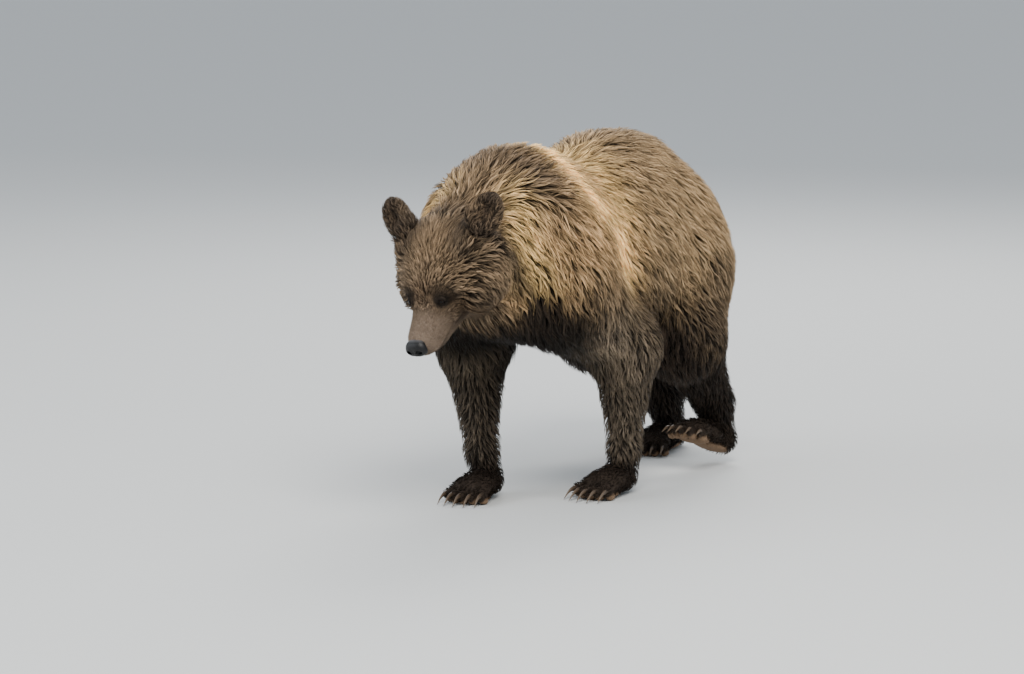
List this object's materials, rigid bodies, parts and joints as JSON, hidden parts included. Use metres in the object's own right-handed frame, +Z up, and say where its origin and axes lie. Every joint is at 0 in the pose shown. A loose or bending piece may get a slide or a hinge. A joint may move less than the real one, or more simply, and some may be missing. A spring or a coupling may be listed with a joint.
{
  "type": "grizzly bear",
  "caption": "Life-size standing model of a walking grizzly bear with a shaggy coat, its heavy head held low and a hind foot swinging forward, for display on a flat floor.",
  "frame": {"origin": "centre of the bear's bounding box at floor level", "axes": "+Z up, the bear walks towards -Y, its left side is +X; +Y runs from nose to tail"},
  "size_m": [0.6494, 1.7146, 1.0486],
  "materials": {
    "body_coat": "long shaggy fur, mid brown with golden tips, paler over neck, shoulders and behind the hump",
    "leg_coat": "short dark brown fur, wet and clinging low down",
    "ear_coat": "dense short dark fur",
    "muzzle_coat": "very short smooth grey-brown fur",
    "nose_leather": "moist pebbled dark skin",
    "eye": "glossy, very dark brown",
    "claw": "dark horn, satin, paler at the tips"
  },
  "bodies": {
    "root": {"head": "body_coat", "muzzle": "muzzle_coat", "lower_jaw": "muzzle_coat", "nose": "nose_leather", "right_eye": "eye", "right_ear": "ear_coat", "left_eye": "eye", "left_ear": "ear_coat", "neck": "body_coat", "chest": "body_coat", "barrel": "body_coat", "rump": "body_coat", "tail": "body_coat", "left_fore_upper": "body_coat", "left_fore_lower": "leg_coat", "left_fore_foot": "leg_coat", "left_fore_claw_1": "claw", "left_fore_claw_2": "claw", "left_fore_claw_3": "claw", "left_fore_claw_4": "claw", "left_fore_claw_5": "claw", "right_fore_upper": "body_coat", "right_fore_lower": "leg_coat", "right_fore_foot": "leg_coat", "right_fore_claw_1": "claw", "right_fore_claw_2": "claw", "right_fore_claw_3": "claw", "right_fore_claw_4": "claw", "right_fore_claw_5": "claw", "left_hind_upper": "body_coat", "left_hind_lower": "leg_coat", "left_hind_foot": "leg_coat", "left_hind_claw_1": "claw", "left_hind_claw_2": "claw", "left_hind_claw_3": "claw", "left_hind_claw_4": "claw", "left_hind_claw_5": "claw", "right_hind_upper": "body_coat", "right_hind_lower": "leg_coat", "right_hind_foot": "leg_coat", "right_hind_claw_1": "claw", "right_hind_claw_2": "claw", "right_hind_claw_3": "claw", "right_hind_claw_4": "claw", "right_hind_claw_5": "claw"}
  },
  "joints": []
}
